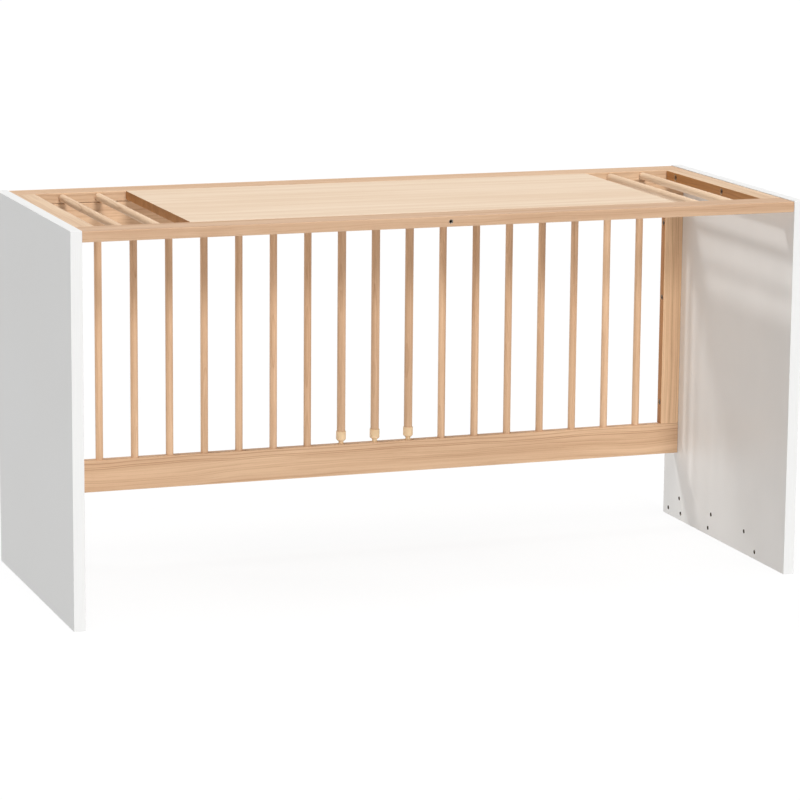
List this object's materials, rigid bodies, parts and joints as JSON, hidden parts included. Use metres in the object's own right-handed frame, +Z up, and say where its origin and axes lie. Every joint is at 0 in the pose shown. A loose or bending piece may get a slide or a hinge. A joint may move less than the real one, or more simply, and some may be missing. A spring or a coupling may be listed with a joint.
{
  "type": "convertible cot bed in desk form",
  "caption": "Convertible wooden cot set up as a desk: white end panels, a barred side lying flat as the worktop, a second standing behind, and sprung slip bars.",
  "frame": {"origin": "on the floor, under the middle of the object's box", "axes": "+X along the length to the right end panel, +Y to the back, away from the sitter, +Z up"},
  "size_m": [1.456, 0.58, 0.74],
  "materials": {
    "white_coat": "white melamine coat on board, satin",
    "beech_rail": "clear lacquered beech, satin, long straight grain",
    "beech_bar": "clear lacquered turned beech, satin",
    "beech_board": "pale clear lacquered board, satin, fine straight grain",
    "beech_pin": "raw fluted beech",
    "beige_plastic": "moulded beige plastic, satin",
    "zinc_steel": "zinc plated, slightly dull",
    "spring_steel": "bare spring wire"
  },
  "bodies": {
    "frame": {"left_end_panel": "white_coat", "right_end_panel": "white_coat", "rear_lower_rail": "beech_rail", "rear_upper_rail": "beech_rail", "rear_left_stile": "beech_rail", "rear_right_stile": "beech_rail", "desk_back_rail": "beech_rail", "desk_front_rail": "beech_rail", "desk_left_stile": "beech_rail", "desk_right_stile": "beech_rail", "rear_bar_01": "beech_bar", "rear_bar_02": "beech_bar", "rear_bar_03": "beech_bar", "rear_bar_04": "beech_bar", "rear_bar_05": "beech_bar", "rear_bar_06": "beech_bar", "rear_bar_07": "beech_bar", "rear_bar_08": "beech_bar", "rear_bar_12": "beech_bar", "rear_bar_13": "beech_bar", "rear_bar_14": "beech_bar", "rear_bar_15": "beech_bar", "rear_bar_16": "beech_bar", "rear_bar_17": "beech_bar", "rear_bar_18": "beech_bar", "desk_bar_01": "beech_bar", "desk_bar_02": "beech_bar", "desk_bar_17": "beech_bar", "desk_bar_18": "beech_bar", "slip_spring_09": "spring_steel", "slip_spring_10": "spring_steel", "slip_spring_11": "spring_steel", "desk_board": "beech_board", "board_pin_1": "beech_pin", "board_pin_2": "beech_pin", "board_pin_3": "beech_pin", "board_pin_4": "beech_pin", "board_pin_5": "beech_pin", "board_pin_6": "beech_pin", "rear_left_bolt_1": "zinc_steel", "rear_left_bolt_2": "zinc_steel", "rear_left_bolt_3": "zinc_steel", "rear_right_bolt_1": "zinc_steel", "rear_right_bolt_2": "zinc_steel", "rear_right_bolt_3": "zinc_steel", "desk_left_bolt_1": "zinc_steel", "desk_left_bolt_2": "zinc_steel", "desk_left_bolt_3": "zinc_steel", "desk_right_bolt_1": "zinc_steel", "desk_right_bolt_2": "zinc_steel", "desk_right_bolt_3": "zinc_steel", "front_rail_insert": "zinc_steel"},
    "slip_unit_09": {"slip_bar_09": "beech_bar", "slip_foot_09": "beige_plastic"},
    "slip_unit_10": {"slip_bar_10": "beech_bar", "slip_foot_10": "beige_plastic"},
    "slip_unit_11": {"slip_bar_11": "beech_bar", "slip_foot_11": "beige_plastic"}
  },
  "joints": [
    {"name": "slip_bar_09_lift", "type": "slide", "parent": "frame", "child": "slip_unit_09", "axis": [0, 0, 1], "range_m": [0, 0.013], "stiffness_N_per_m": 600, "springref_m": -0.01, "deforming": ["slip_spring_09"]},
    {"name": "slip_bar_10_lift", "type": "slide", "parent": "frame", "child": "slip_unit_10", "axis": [0, 0, 1], "range_m": [0, 0.013], "stiffness_N_per_m": 600, "springref_m": -0.01, "deforming": ["slip_spring_10"]},
    {"name": "slip_bar_11_lift", "type": "slide", "parent": "frame", "child": "slip_unit_11", "axis": [0, 0, 1], "range_m": [0, 0.013], "stiffness_N_per_m": 600, "springref_m": -0.01, "deforming": ["slip_spring_11"]}
  ]
}
